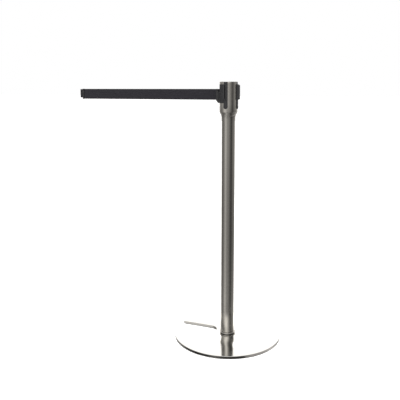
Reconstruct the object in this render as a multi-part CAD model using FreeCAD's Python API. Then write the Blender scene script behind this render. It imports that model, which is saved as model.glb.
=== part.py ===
import FreeCAD, Part
import math
import os

# Retractable belt stanchion: a flat round base, a steel post and a slotted head
# that holds a belt cassette. Millimetres. The origin is on the floor on the post's
# axis, +Z is up, and the belt is pulled out of the head towards -X. The base has a
# stacking slot on the same side. "Pulled out" below is the distance of the belt's
# end from the outlet at rest.

# ---- driving dimensions -------------------------------------------------------
BASE_D = 408.0          # base disc
BASE_T = 10.0           # base disc, thickness
PAD_T = 2.0             # rubber pad under the base
NEST_W = 70.0           # stacking slot, width (it takes a neighbour's post)
NEST_END = 45.0         # stacking slot, inner end to the post's axis
POST_D = 50.8           # post tube, 2 inch
POST_WALL = 1.5
HEAD_D = 68.0           # head shell
HEAD_WALL = 2.0
HEAD_TOP = 989.0        # top of the head over the floor
HEAD_FOOT = 875.4       # where the head's cylinder meets its neck
CONE_FOOT = 843.0       # lower end of the neck
SLOT_W = 15.5           # the four slots in the head
SLOT_FOOT = 887.5       # their round lower ends
BELT_W = 40.6           # belt width
BELT_T = 0.6            # belt thickness
BELT_Z = 941.5          # belt's centre line over the floor
BELT_TOTAL = 1990.0     # belt that can be pulled out
BELT_OUT = 585.5        # belt pulled out at rest
PROUD = 8.8             # receivers stand this far out of the head
FIT = 0.05              # radial clearance of a running or push fit
GAP = 0.3               # free gap between parts that turn past each other

# ---- heights inside the head --------------------------------------------------
PLATE_Z = PAD_T
FLOOR_Z = PAD_T + BASE_T                  # top of the base disc
NECK_Z = 866.0                            # top of the post tube
CASSETTE_Z = 880.0                        # underside of the cassette
CASSETTE_FLOOR = CASSETTE_Z + 4.0
STEP_Z = 923.0                            # where a receiver steps out
CAP_Z = 982.0                             # underside of the cassette's cap
BELT_LOW = BELT_Z - BELT_W / 2
BELT_HIGH = BELT_Z + BELT_W / 2
FLANGE_T = 1.5
FLANGE_LOW = BELT_LOW - 0.7 - FLANGE_T    # underside of the reel's lower flange
FLANGE_HIGH = BELT_HIGH + 0.7             # underside of the reel's upper flange

# ---- radii inside the head ----------------------------------------------------
POST_R = POST_D / 2
POST_IN = POST_R - POST_WALL
HEAD_R = HEAD_D / 2
HEAD_IN = HEAD_R - HEAD_WALL
SPINDLE_R = 4.0
BUSH_R = 5.6
CORE_R = 9.0
REEL_R = 23.5
# the wound belt fills a ring whose area is the wound length times the thickness
WOUND = BELT_TOTAL - BELT_OUT
ROLL_R = math.sqrt(CORE_R ** 2 + WOUND * BELT_T / math.pi)
ROLLER_R = 3.0
ROLLER_X = -29.0
ROLLER_Y = ROLLER_R + BELT_T / 2 + 0.1
NOSE_X = -48.0                            # tip of the outlet nose
WEB_X = -HEAD_R + 0.1                     # the straight belt starts here
CLIP_L = 8.0
CLIP_X = NOSE_X - 0.5 - BELT_OUT          # near edge of the belt's end clip

UP = FreeCAD.Vector(0, 0, 1)
ORIGIN = FreeCAD.Vector(0, 0, 0)


def cylinder(r, z0, z1, x=0.0, y=0.0):
    """An upright cylinder of radius r between two heights."""
    return Part.makeCylinder(r, z1 - z0, FreeCAD.Vector(x, y, z0))


def ring(r_out, r_in, z0, z1, x=0.0, y=0.0):
    """An upright tube."""
    hole = cylinder(r_in, z0 - 1, z1 + 1, x, y)
    return cylinder(r_out, z0, z1, x, y).cut(hole)


def block(x0, x1, y0, y1, z0, z1):
    """A box between two corners."""
    return Part.makeBox(x1 - x0, y1 - y0, z1 - z0, FreeCAD.Vector(x0, y0, z0))


def turned(profile):
    """A solid of revolution about Z from (radius, height) points."""
    points = [FreeCAD.Vector(r, 0, z) for r, z in profile]
    face = Part.Face(Part.makePolygon(points + points[:1]))
    return face.revolve(ORIGIN, UP, 360)


def side_plate(profile, y0, y1):
    """A plate with an outline of (x, z) points, between two values of y."""
    points = [FreeCAD.Vector(x, y0, z) for x, z in profile]
    face = Part.Face(Part.makePolygon(points + points[:1]))
    return face.extrude(FreeCAD.Vector(0, y1 - y0, 0))


def spun(shape, angle):
    """A copy turned about Z by an angle in degrees."""
    copy = shape.copy()
    copy.rotate(ORIGIN, UP, angle)
    return copy


def around(shape, angles):
    """Copies of a shape at several angles about Z, as a list."""
    return [spun(shape, a) for a in angles]


def radial_pin(r, x0, x1, z):
    """A cylinder along +X at a height, between two radii."""
    return Part.makeCylinder(r, x1 - x0, FreeCAD.Vector(x0, 0, z),
                             FreeCAD.Vector(1, 0, 0))


def socket(across, depth, z_top, x=0.0, y=0.0, up=1):
    """A hexagonal socket that opens at z_top, upwards or downwards."""
    r = across / math.sqrt(3)
    corners = [FreeCAD.Vector(x + r * math.cos(math.radians(60 * i)),
                              y + r * math.sin(math.radians(60 * i)), z_top)
               for i in range(6)]
    face = Part.Face(Part.makePolygon(corners + corners[:1]))
    return face.extrude(FreeCAD.Vector(0, 0, -up * depth))


def edges_at(shape, z, kind=None):
    """The edges that lie flat at one height."""
    return [e for e in shape.Edges
            if abs(e.BoundBox.ZMin - z) < 1e-4 and abs(e.BoundBox.ZMax - z) < 1e-4
            and (kind is None or e.Curve.TypeId == kind)]


def upright_edges(shape, least=5.0):
    """The straight vertical edges longer than a least length."""
    return [e for e in shape.Edges
            if e.Curve.TypeId == "Part::GeomLine" and e.Length > least
            and abs(e.tangentAt(e.FirstParameter).z) > 0.999]


# ---- base ---------------------------------------------------------------------
BOLT_R = 6.0
BOLT_HEAD_R = 10.0
BOLT_HEAD_H = 4.6
WASHER_R = 14.0
WASHER_T = 1.2
BORE_TOP = PLATE_Z + 6.2                  # the counterbore under the base


def slotted_disc(radius, z0, z1, side):
    """A disc with the stacking slot cut in from the rim; side widens the slot."""
    half = NEST_W / 2 + side
    centre = -(NEST_END + NEST_W / 2)
    disc = cylinder(radius, z0, z1)
    disc = disc.cut(block(-BASE_D, centre, -half, half, z0 - 1, z1 + 1))
    return disc.cut(cylinder(half, z0 - 1, z1 + 1, centre))


def base_plate():
    plate = slotted_disc(BASE_D / 2, PLATE_Z, FLOOR_Z, 0)
    plate = plate.makeFillet(1.2, edges_at(plate, FLOOR_Z))
    plate = plate.cut(cylinder(BOLT_R + 0.3, PLATE_Z - 1, FLOOR_Z + 1))
    return plate.cut(cylinder(WASHER_R + 0.5, PLATE_Z - 1, BORE_TOP))


def base_pad():
    return slotted_disc(BASE_D / 2 - 3, 0, PAD_T, 3)


def base_bolt():
    head_z = BORE_TOP - WASHER_T - BOLT_HEAD_H
    bolt = cylinder(BOLT_HEAD_R, head_z, head_z + BOLT_HEAD_H)
    bolt = bolt.fuse(cylinder(BOLT_R, head_z + BOLT_HEAD_H, FLOOR_Z + 22))
    return bolt.cut(socket(8.0, 3.0, head_z, up=-1)).removeSplitter()


def bolt_washer():
    return ring(WASHER_R, BOLT_R + 0.3, BORE_TOP - WASHER_T, BORE_TOP)


def foot_plug():
    """The threaded plug welded into the lower end of the post."""
    return ring(POST_IN, BOLT_R + FIT, FLOOR_Z, FLOOR_Z + 25)


def foot_collar():
    """The ring that hides the weld at the post's foot: a thin rim on a narrower neck."""
    bore = POST_R + FIT
    return turned([(bore, FLOOR_Z), (27.4, FLOOR_Z), (27.4, FLOOR_Z + 4.4),
                   (29.9, FLOOR_Z + 5.0), (30.5, FLOOR_Z + 5.6), (30.5, FLOOR_Z + 7.0),
                   (29.9, FLOOR_Z + 7.6), (26.6, FLOOR_Z + 8.2), (bore, FLOOR_Z + 8.2)])


# ---- post and neck ------------------------------------------------------------
PLUG_Z = 836.0
NECK_STEP = 876.5                         # the shell's inner cone ends here
SET_SCREW_Z = 857.0
GRUB_Z = 877.5
GRUB_R = 1.75
GRUB_ANGLES = (70, 150)
SET_ANGLES = (30, 150, 270)
FLOOR_SCREW_R = 26.0
SIDES = (0, 90, 180, 270)


def post_tube():
    tube = ring(POST_R, POST_IN, FLOOR_Z, NECK_Z)
    for hole in around(radial_pin(2.5 + FIT, 20, 30, SET_SCREW_Z), SET_ANGLES):
        tube = tube.cut(hole)
    return tube


def neck_plug():
    """The turned plug between post and head, hollow from below."""
    plug = turned([(0, 862), (20, 862), (20, PLUG_Z), (POST_IN - FIT, PLUG_Z),
                   (POST_IN - FIT, NECK_Z), (POST_R - 0.1, NECK_Z),
                   (POST_R - 0.1, NECK_Z + 0.3), (HEAD_IN - 0.15, NECK_STEP),
                   (HEAD_IN - 0.1, CASSETTE_Z), (0, CASSETTE_Z)])
    holes = around(radial_pin(2.5 + FIT, 18, 30, SET_SCREW_Z), SET_ANGLES)
    holes += around(radial_pin(GRUB_R + FIT, 26.5, 34, GRUB_Z), GRUB_ANGLES)
    holes += [cylinder(2 + FIT, 872, CASSETTE_Z + 1, FLOOR_SCREW_R * math.cos(math.radians(a)),
                       FLOOR_SCREW_R * math.sin(math.radians(a))) for a in SIDES]
    holes.append(cylinder(2.5 + FIT, 850, CASSETTE_Z + 1))
    for hole in holes:
        plug = plug.cut(hole)
    return plug


def neck_set_screws():
    screw = radial_pin(2.5, 20.2, POST_R - 0.1, SET_SCREW_Z)
    return Part.Compound(around(screw, SET_ANGLES))


# the neck's outside: (height, radius), from its lower end to the cylinder
NECK = [(CONE_FOOT, 26.2), (850.0, 26.3), (855.0, 26.5), (859.0, 26.8), (862.6, 27.5),
        (866.4, 28.8), (870.0, 30.8), (873.0, 32.7), (HEAD_FOOT, HEAD_R)]


def head_shell():
    """The spun shell: a cylinder that necks in steeply at first and then gently to the
    post, with four slots open at the top."""
    bore = POST_R + FIT
    shell = turned([(bore, CONE_FOOT)] + [(r, z) for z, r in NECK] +
                   [(HEAD_R, HEAD_TOP - 0.8), (HEAD_R - 0.6, HEAD_TOP),
                    (HEAD_IN + 0.4, HEAD_TOP), (HEAD_IN, HEAD_TOP - 0.6),
                    (HEAD_IN, NECK_STEP), (bore, NECK_Z + 0.3)])
    half = SLOT_W / 2
    slot = block(20, 40, -half, half, SLOT_FOOT + half, HEAD_TOP + 1)
    slot = slot.fuse(radial_pin(half, 20, 40, SLOT_FOOT + half))
    holes = around(slot, SIDES)
    holes += around(radial_pin(GRUB_R + FIT, 30, 36, GRUB_Z), GRUB_ANGLES)
    holes += around(radial_pin(RIVET_R + FIT, 30, 36, RIVET_Z), RIVET_ANGLES)
    for hole in holes:
        shell = shell.cut(hole)
    return shell


def shell_grub_screws():
    screw = radial_pin(GRUB_R, 27, HEAD_R - 0.3, GRUB_Z)
    return Part.Compound(around(screw, GRUB_ANGLES))


# ---- cassette -----------------------------------------------------------------
WALL_R = HEAD_IN - 0.3
WALL_T = 2.2
BOSS_R = 3.2
BOSS_AT = 27.2
BOSS_ANGLES = (45, 135, 225, 315)
CAP_TOP = HEAD_TOP - 2.5
SPINDLE_TOP = 976.0
RIVET_R = 1.6
RIVET_Z = 916.0
RIVET_ANGLES = (150, 210)


def on_ring(radius, angle):
    """The (x, y) of a point on a circle about the post's axis."""
    a = math.radians(angle)
    return radius * math.cos(a), radius * math.sin(a)


def cassette_body():
    """The cassette's floor, its slotted wall and four screw bosses, in one moulding."""
    body = cylinder(WALL_R, CASSETTE_Z, CASSETTE_FLOOR)
    body = body.fuse(ring(WALL_R, WALL_R - WALL_T, CASSETTE_FLOOR, CAP_Z))
    for angle in BOSS_ANGLES:
        body = body.fuse(cylinder(BOSS_R, CASSETTE_FLOOR, CAP_Z, *on_ring(BOSS_AT, angle)))
    half = SLOT_W / 2 - 0.1
    gates = around(block(20, 40, -half, half, SLOT_FOOT - 0.2, CAP_Z + 1), SIDES)
    holes = [cylinder(1.5, CAP_Z - 14, CAP_Z + 1, *on_ring(BOSS_AT, a)) for a in BOSS_ANGLES]
    holes += [cylinder(2 + FIT, CASSETTE_Z - 1, CASSETTE_FLOOR + 1, *on_ring(FLOOR_SCREW_R, a))
              for a in SIDES]
    holes.append(cylinder(2.5 + FIT, CASSETTE_Z - 1, CASSETTE_FLOOR + 1))
    holes += around(radial_pin(RIVET_R + FIT, 29, 34, RIVET_Z), RIVET_ANGLES)
    for hole in gates + holes:
        body = body.cut(hole)
    return body.removeSplitter()


def cassette_floor_screws():
    screws = []
    for angle in SIDES:
        x, y = on_ring(FLOOR_SCREW_R, angle)
        screw = cylinder(3.5, CASSETTE_FLOOR, CASSETTE_FLOOR + 2.4, x, y)
        screw = screw.fuse(cylinder(2, 872.5, CASSETTE_FLOOR, x, y))
        screws.append(screw.cut(socket(2.5, 1.4, CASSETTE_FLOOR + 2.4, x, y)))
    return Part.Compound(screws)


def cassette_cap():
    """The round cap, with a tab in each slot and a boss that steadies the spindle."""
    cap = cylinder(WALL_R, CAP_Z, CAP_TOP)
    half = SLOT_W / 2 - 0.15
    inside = cylinder(HEAD_R - 0.1, CAP_Z, HEAD_TOP - 0.6)
    for tab in around(block(24, 40, -half, half, CAP_Z, HEAD_TOP - 0.6), SIDES):
        cap = cap.fuse(tab.common(inside))
    cap = cap.fuse(cylinder(7, 970.5, CAP_Z))
    cap = cap.cut(cylinder(SPINDLE_R + FIT, 970, SPINDLE_TOP + 0.5))
    cap = cap.cut(turned([(0, CAP_TOP - 1), (20, CAP_TOP - 1), (21.2, CAP_TOP + 0.1),
                          (0, CAP_TOP + 0.1)]))
    for angle in BOSS_ANGLES:
        x, y = on_ring(BOSS_AT, angle)
        cap = cap.cut(cylinder(1.6, CAP_Z - 1, CAP_TOP + 1, x, y))
        cap = cap.cut(cylinder(3.1, CAP_TOP - 2, CAP_TOP + 1, x, y))
    return cap.removeSplitter()


def cap_screws():
    screws = []
    for angle in BOSS_ANGLES:
        x, y = on_ring(BOSS_AT, angle)
        screw = cylinder(2.9, CAP_TOP - 2, CAP_TOP - 0.2, x, y)
        screw = screw.fuse(cylinder(1.45, CAP_Z - 11, CAP_TOP - 2, x, y))
        screws.append(screw.cut(socket(2, 1.1, CAP_TOP - 0.2, x, y)))
    return Part.Compound(screws)


# ---- receivers, one in each of three slots --------------------------------------
RECEIVER_W = SLOT_W - 0.3
RECEIVER_OUT = HEAD_R + PROUD
STEP_OUT = 36.4                           # reach of the thinner lower part
INNER = 25.6                              # inner face, with a flange behind the wall
FOOT_Z = SLOT_FOOT + SLOT_W / 2           # centre of the round lower end
CHANNEL_Z = 925.5                         # floor of the channel
CHANNEL_IN = 36.5                         # the channel's back wall
CHANNEL_OUT = 41.2                        # the lips start here
CHANNEL_W = 9.6
THROAT_W = 4.6


def receiver():
    """A receiver that points along +X: a block with a T-shaped channel open at the top."""
    half = RECEIVER_W / 2
    out, top = RECEIVER_OUT, CAP_Z - 0.1
    body = side_plate([(INNER, FOOT_Z), (STEP_OUT, FOOT_Z), (STEP_OUT, STEP_Z),
                       (out, STEP_Z), (out, top - 9.6), (out - 0.9, top - 6.3),
                       (out - 3.2, top - 4.1), (out - 6.0, top - 3.2), (HEAD_R + 0.6, top - 1.6),
                       (HEAD_R + 0.4, top), (INNER, top)], -half, half)
    body = body.makeFillet(0.8, [e for e in upright_edges(body) if e.BoundBox.XMin > 30])
    body = body.fuse(radial_pin(half, INNER, STEP_OUT, FOOT_Z))
    body = body.fuse(block(INNER, INNER + 2.1, -half - 1.8, half + 1.8, FOOT_Z, top))
    body = body.cut(block(CHANNEL_IN, CHANNEL_OUT, -CHANNEL_W / 2, CHANNEL_W / 2,
                          CHANNEL_Z, top + 5))
    body = body.cut(block(CHANNEL_OUT - 1, out + 2, -THROAT_W / 2, THROAT_W / 2,
                          CHANNEL_Z, top + 5))
    return body.removeSplitter()


# ---- outlet ---------------------------------------------------------------------
SHOE_IN = HEAD_R + 0.15
SHOE_OUT = HEAD_R + 3.6
SHOE_LOW = 909.5
SHOE_MID = 951.0
EAR_TOP = 979.0
PIN_R = 1.2


def outlet_frame():
    """The frame in the belt's slot that carries the two guide rollers' pins."""
    half = RECEIVER_W / 2
    top = CAP_Z - 0.1
    frame = block(-33.2, -INNER, -half, half, FOOT_Z, top)
    frame = frame.fuse(spun(radial_pin(half, INNER, 33.2, FOOT_Z), 180))
    frame = frame.fuse(block(-INNER - 2.1, -INNER, -half - 1.8, half + 1.8, FOOT_Z, top))
    frame = frame.cut(block(-40, -20, -6.8, 6.8, BELT_LOW - 1.5, BELT_HIGH + 1.5))
    for side in (-1, 1):
        frame = frame.cut(cylinder(PIN_R + FIT, BELT_LOW - 5, BELT_HIGH + 5,
                                   ROLLER_X, side * ROLLER_Y))
    return frame


def guide_roller(side):
    return ring(ROLLER_R, PIN_R + FIT, BELT_LOW - 1.0, BELT_HIGH + 1.0,
                ROLLER_X, side * ROLLER_Y)


def guide_pins():
    return Part.Compound([cylinder(PIN_R, BELT_LOW - 4.9, BELT_HIGH + 4.9,
                                   ROLLER_X, side * ROLLER_Y) for side in (-1, 1)])


def outlet_shoe():
    """The saddle round the outlet side of the head, with two ears and a short nose."""
    low = ring(SHOE_OUT, SHOE_IN, SHOE_LOW, SHOE_MID)
    ears = ring(SHOE_OUT, SHOE_IN, SHOE_MID, EAR_TOP)
    reach = SHOE_OUT * math.tan(math.radians(45))
    wedge = Part.Face(Part.makePolygon([
        FreeCAD.Vector(0, 0, SHOE_MID - 1), FreeCAD.Vector(-SHOE_OUT - 2, reach + 2, SHOE_MID - 1),
        FreeCAD.Vector(-SHOE_OUT - 2, -reach - 2, SHOE_MID - 1),
        FreeCAD.Vector(0, 0, SHOE_MID - 1)])).extrude(FreeCAD.Vector(0, 0, 40))
    shoe = low.fuse(ears.cut(wedge))
    edge = SLOT_W / 2 + 0.3
    shoe = shoe.common(block(-60, -edge, -60, 60, 900, 990))
    nose = side_plate([(-30, SHOE_LOW), (-38.5, SHOE_LOW), (-42.5, SHOE_LOW + 5.5),
                       (NOSE_X + 1, BELT_LOW - 1), (NOSE_X, BELT_LOW), (NOSE_X, BELT_HIGH),
                       (NOSE_X + 1.2, BELT_HIGH + 0.6), (-36, SHOE_MID), (-30, SHOE_MID)],
                      -9.5, 9.5)
    nose = nose.cut(cylinder(SHOE_IN, 890, 990))
    shoe = shoe.fuse(nose).removeSplitter()
    tip = [e for e in upright_edges(shoe) if e.BoundBox.XMax < NOSE_X + 0.1]
    shoe = shoe.makeFillet(2.5, tip)
    mouth = block(NOSE_X - 2, -30, -1.3, 1.3, BELT_LOW - 1.5, 990)
    root = block(-36.5, -30, -7.6, 7.6, BELT_LOW - 1.5, 990)
    shoe = shoe.cut(mouth).cut(root.common(cylinder(35.6, 890, 990)))
    for hole in around(radial_pin(RIVET_R + FIT, 33, 40, RIVET_Z), RIVET_ANGLES):
        shoe = shoe.cut(hole)
    return shoe


def shoe_rivets():
    rivet = radial_pin(RIVET_R, 28.9, SHOE_OUT - 0.2, RIVET_Z)
    rivet = rivet.fuse(radial_pin(2.6, SHOE_OUT, SHOE_OUT + 0.9, RIVET_Z))
    rivet = rivet.fuse(radial_pin(RIVET_R, SHOE_OUT - 0.3, SHOE_OUT + 0.1, RIVET_Z))
    return Part.Compound(around(rivet.removeSplitter(), RIVET_ANGLES))


# ---- reel -----------------------------------------------------------------------
CUP_R = 21.8
CUP_TOP = 911.0
LID_T = 1.5
CORE_TOP = FLANGE_HIGH + FLANGE_T + 1.5
FELT_T = 2.0
PLATE_T = 1.2
BRAKE_Z = CUP_TOP + LID_T + FELT_T + 0.2


def spindle():
    """The fixed steel spindle, with a foot, a screw bore and a groove for its clip."""
    shape = cylinder(8, CASSETTE_FLOOR, CASSETTE_FLOOR + 2.5)
    shape = shape.fuse(cylinder(SPINDLE_R, CASSETTE_FLOOR + 2.5, SPINDLE_TOP))
    shape = shape.cut(cylinder(2.5 + FIT, CASSETTE_FLOOR - 1, CASSETTE_FLOOR + 12))
    groove = ring(SPINDLE_R + 1, SPINDLE_R - 0.5, CLIP_Z, CLIP_Z + 1.1)
    return shape.cut(groove).removeSplitter()


CLIP_Z = CORE_TOP + 1.3


def spindle_screw():
    screw = cylinder(4.5, 857.4, 862).fuse(cylinder(2.5, 862, CASSETTE_FLOOR + 11))
    return screw.cut(socket(4, 2.4, 857.4, up=-1)).removeSplitter()


def spindle_clip():
    """An open snap ring in the spindle's groove."""
    clip = ring(6.4, SPINDLE_R - 0.45, CLIP_Z + 0.05, CLIP_Z + 1.05)
    return clip.cut(block(0, 10, -1.6, 1.6, CLIP_Z - 1, CLIP_Z + 3))


def thrust_washer():
    return ring(8, SPINDLE_R + 0.1, CORE_TOP + 0.1, CORE_TOP + 1.1)


def reel_core():
    """The moulded core: a belt drum, with a boss below it that the spring is hooked to."""
    core = turned([(BUSH_R, 888), (7.6, 888), (7.6, FLANGE_LOW + FLANGE_T),
                   (CORE_R, FLANGE_LOW + FLANGE_T), (CORE_R, FLANGE_HIGH),
                   (7.6, FLANGE_HIGH), (7.6, CORE_TOP), (BUSH_R, CORE_TOP)])
    core = core.cut(cylinder(1 + 0.02, FLANGE_LOW + FLANGE_T, CORE_TOP + 1, 7.2, 0))
    return core


def belt_anchor_pin():
    return cylinder(1, FLANGE_LOW + FLANGE_T + 0.5, FLANGE_HIGH, 7.2, 0)


def reel_bush(z0):
    return ring(BUSH_R, SPINDLE_R + FIT, z0, z0 + 8)


def reel_flange(z0):
    """A flange with six round windows."""
    disc = ring(REEL_R, 7.65, z0, z0 + FLANGE_T)
    for i in range(6):
        disc = disc.cut(cylinder(3.2, z0 - 1, z0 + 3, *on_ring(17.5, 30 + 60 * i)))
    return disc


def belt_roll():
    return ring(ROLL_R, CORE_R + FIT, BELT_LOW, BELT_HIGH)


def spiral(r0, r1, turns, width, z0, z1):
    """A flat strip wound as an Archimedean spiral between two radii."""
    steps = int(turns * 16)

    def curve(offset):
        points = []
        for i in range(steps + 1):
            t = i / steps
            radius = r0 + (r1 - r0) * t + offset
            angle = 2 * math.pi * turns * t
            points.append(FreeCAD.Vector(radius * math.cos(angle),
                                         radius * math.sin(angle), z0))
        line = Part.BSplineCurve()
        line.interpolate(points)
        return line.toShape(), points

    inner, inside = curve(-width / 2)
    outer, outside = curve(width / 2)
    ends = [Part.makeLine(inside[0], outside[0]), Part.makeLine(inside[-1], outside[-1])]
    face = Part.Face(Part.Wire(Part.__sortEdges__([inner, outer] + ends)))
    return face.extrude(FreeCAD.Vector(0, 0, z1 - z0))


def power_spring():
    return spiral(8.4, CUP_R - 1.2 - 0.45, 7.0, 0.5, 887.4, CUP_TOP - 1.2)


def spring_cup():
    cup = ring(CUP_R, CUP_R - 1.2, CASSETTE_FLOOR, CUP_TOP)
    return cup.fuse(ring(CUP_R, 8.2, CASSETTE_FLOOR, CASSETTE_FLOOR + 1.2)).removeSplitter()


def spring_lid():
    return ring(CUP_R, 8.2, CUP_TOP, CUP_TOP + LID_T)


def brake_felt():
    return ring(19, 10.5, CUP_TOP + LID_T, CUP_TOP + LID_T + FELT_T)


def brake_plate():
    return ring(19.5, 7.65, BRAKE_Z, BRAKE_Z + PLATE_T)


def wave_washer():
    return ring(13, 8.6, BRAKE_Z + PLATE_T, FLANGE_LOW)


# ---- belt -----------------------------------------------------------------------
KINK_X = -26.0
HALF_T = BELT_T / 2


def belt_lead():
    """The belt inside the head: from the roll, on a tangent, to between the rollers."""
    lift = math.acos(ROLL_R / -KINK_X)
    touch_x = -(ROLL_R + HALF_T + 0.05) * math.cos(lift)
    touch_y = -(ROLL_R + HALF_T + 0.05) * math.sin(lift)
    length = math.hypot(KINK_X - touch_x, touch_y)
    nx = touch_y / length * HALF_T
    ny = -(touch_x - KINK_X) / length * HALF_T
    outline = [(touch_x + nx, touch_y + ny), (KINK_X, -HALF_T), (WEB_X, -HALF_T),
               (WEB_X, HALF_T), (KINK_X + 0.2, HALF_T), (touch_x - nx, touch_y - ny)]
    points = [FreeCAD.Vector(x, y, BELT_LOW) for x, y in outline]
    face = Part.Face(Part.makePolygon(points + points[:1]))
    return face.extrude(FreeCAD.Vector(0, 0, BELT_W))


def rivet_hole(z):
    """A hole through the belt and its end clip at one height."""
    return Part.makeCylinder(1.05, 10, FreeCAD.Vector(CLIP_X - 3.2, -5, z),
                             FreeCAD.Vector(0, 1, 0))


def belt_web():
    web = block(CLIP_X - CLIP_L + 1.5, WEB_X - 0.1, -HALF_T, HALF_T, BELT_LOW, BELT_HIGH)
    return web.cut(Part.Compound([rivet_hole(z) for z in CLIP_RIVETS]))


def belt_clip(side):
    """One of the two plates that grip the belt's end; side is -1 in front, 1 behind."""
    inner, outer = side * (HALF_T + 0.05), side * 2.2
    plate = block(CLIP_X - CLIP_L, CLIP_X, min(inner, outer), max(inner, outer),
                  BELT_LOW - 0.5, BELT_HIGH + 0.5)
    rim = [e for e in plate.Edges if abs(e.BoundBox.YMin - outer) < 1e-6
           and abs(e.BoundBox.YMax - outer) < 1e-6]
    plate = plate.makeFillet(0.8, rim)
    return plate.cut(Part.Compound([rivet_hole(z) for z in CLIP_RIVETS]))


CLIP_RIVETS = [BELT_Z + step for step in (-13.5, 0, 13.5)]


def clip_rivets():
    rivets = []
    for z in CLIP_RIVETS:
        at = FreeCAD.Vector(CLIP_X - 3.2, 0, z)
        shank = Part.makeCylinder(1.0, 4.4, at - FreeCAD.Vector(0, 2.2, 0),
                                  FreeCAD.Vector(0, 1, 0))
        head = Part.makeCylinder(1.8, 0.5, at + FreeCAD.Vector(0, 2.2, 0),
                                 FreeCAD.Vector(0, 1, 0))
        tail = Part.makeCylinder(1.8, 0.5, at - FreeCAD.Vector(0, 2.7, 0),
                                 FreeCAD.Vector(0, 1, 0))
        rivets.append(shank.fuse([head, tail]).removeSplitter())
    return Part.Compound(rivets)


def belt_end_bar():
    """The T-shaped bar on the belt's end that slides down into a receiver."""
    low, high = CHANNEL_Z + 0.6, BELT_HIGH - 0.8
    start = CLIP_X - CLIP_L
    bar = block(start - 8.6, start - 4.8, -4.3, 4.3, low, high)
    bar = bar.makeFillet(0.9, bar.Edges)
    neck = block(start - 6.0, start + 1.2, -HALF_T - 0.05, HALF_T + 0.05, low + 1, high - 1)
    root = block(start - 5.5, start - 0.1, -1.6, 1.6, low + 1, high - 1)
    return bar.fuse([neck, root]).removeSplitter()


# ---- write one file per piece -----------------------------------------------------
PIECES = {
    "base_plate": base_plate(),
    "base_pad": base_pad(),
    "base_bolt": base_bolt(),
    "bolt_washer": bolt_washer(),
    "foot_plug": foot_plug(),
    "foot_collar": foot_collar(),
    "post_tube": post_tube(),
    "neck_plug": neck_plug(),
    "neck_set_screws": neck_set_screws(),
    "head_shell": head_shell(),
    "shell_grub_screws": shell_grub_screws(),
    "cassette_body": cassette_body(),
    "cassette_floor_screws": cassette_floor_screws(),
    "cassette_cap": cassette_cap(),
    "cap_screws": cap_screws(),
    "receiver_right": receiver(),
    "receiver_back": spun(receiver(), 90),
    "receiver_front": spun(receiver(), 270),
    "outlet_frame": outlet_frame(),
    "outlet_shoe": outlet_shoe(),
    "shoe_rivets": shoe_rivets(),
    "guide_pins": guide_pins(),
    "guide_roller_front": guide_roller(-1),
    "guide_roller_back": guide_roller(1),
    "spindle": spindle(),
    "spindle_screw": spindle_screw(),
    "spindle_clip": spindle_clip(),
    "thrust_washer": thrust_washer(),
    "spring_cup": spring_cup(),
    "spring_lid": spring_lid(),
    "power_spring": power_spring(),
    "brake_felt": brake_felt(),
    "brake_plate": brake_plate(),
    "wave_washer": wave_washer(),
    "reel_core": reel_core(),
    "reel_bush_lower": reel_bush(890),
    "reel_bush_upper": reel_bush(CORE_TOP - 8),
    "reel_flange_lower": reel_flange(FLANGE_LOW),
    "reel_flange_upper": reel_flange(FLANGE_HIGH),
    "belt_anchor_pin": belt_anchor_pin(),
    "belt_roll": belt_roll(),
    "belt_lead": belt_lead(),
    "belt_web": belt_web(),
    "belt_clip_front": belt_clip(-1),
    "belt_clip_back": belt_clip(1),
    "clip_rivets": clip_rivets(),
    "belt_end_bar": belt_end_bar(),
}

os.makedirs("parts", exist_ok=True)
for name, shape in PIECES.items():
    shape.exportStep(f"parts/{name}.step")
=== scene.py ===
import math

import bmesh
import bpy
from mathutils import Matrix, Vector
import numpy as np


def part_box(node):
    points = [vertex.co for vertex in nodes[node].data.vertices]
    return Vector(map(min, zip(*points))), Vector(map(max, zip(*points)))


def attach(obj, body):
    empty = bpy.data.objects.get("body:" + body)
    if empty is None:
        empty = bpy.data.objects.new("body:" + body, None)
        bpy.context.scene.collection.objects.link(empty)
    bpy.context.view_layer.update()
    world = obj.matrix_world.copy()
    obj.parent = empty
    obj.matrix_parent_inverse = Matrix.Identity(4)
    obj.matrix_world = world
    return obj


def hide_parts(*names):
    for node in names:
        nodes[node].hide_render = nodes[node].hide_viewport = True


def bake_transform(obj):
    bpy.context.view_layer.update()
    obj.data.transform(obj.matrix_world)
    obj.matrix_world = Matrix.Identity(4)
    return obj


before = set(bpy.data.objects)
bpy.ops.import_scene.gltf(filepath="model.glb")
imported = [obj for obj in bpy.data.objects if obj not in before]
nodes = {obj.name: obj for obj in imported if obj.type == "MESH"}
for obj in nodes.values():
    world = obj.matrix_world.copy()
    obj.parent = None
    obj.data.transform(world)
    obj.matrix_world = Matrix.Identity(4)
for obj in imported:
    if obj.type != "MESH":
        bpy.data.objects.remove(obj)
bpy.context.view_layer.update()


# ---- base disc ------------------------------------------------------------------
# A 10 mm disc of stainless steel with a stacking slot, laser-cut and then polished to
# a mirror on rotating mops, with a small rolled edge all round. The pad and the post hide
# its bolt hole and counterbore, so they aren't cut here.

def linear(colour):
    """Linear RGBA from an sRGB hex value such as 'd0d0cf'."""
    parts = np.array([int(colour[i:i + 2], 16) for i in (0, 2, 4)]) / 255
    low, high = parts / 12.92, ((parts + 0.055) / 1.055) ** 2.4
    return (*np.where(parts <= 0.04045, low, high).tolist(), 1.0)


def add(tree, kind, settings={}, inputs={}):
    """Adds a node. settings are its properties; inputs are socket values or links."""
    made = tree.nodes.new(kind)
    for name, value in settings.items():
        setattr(made, name, value)
    for socket, value in inputs.items():
        if isinstance(value, bpy.types.NodeSocket):
            tree.links.new(value, made.inputs[socket])
        else:
            made.inputs[socket].default_value = value
    return made


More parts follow.
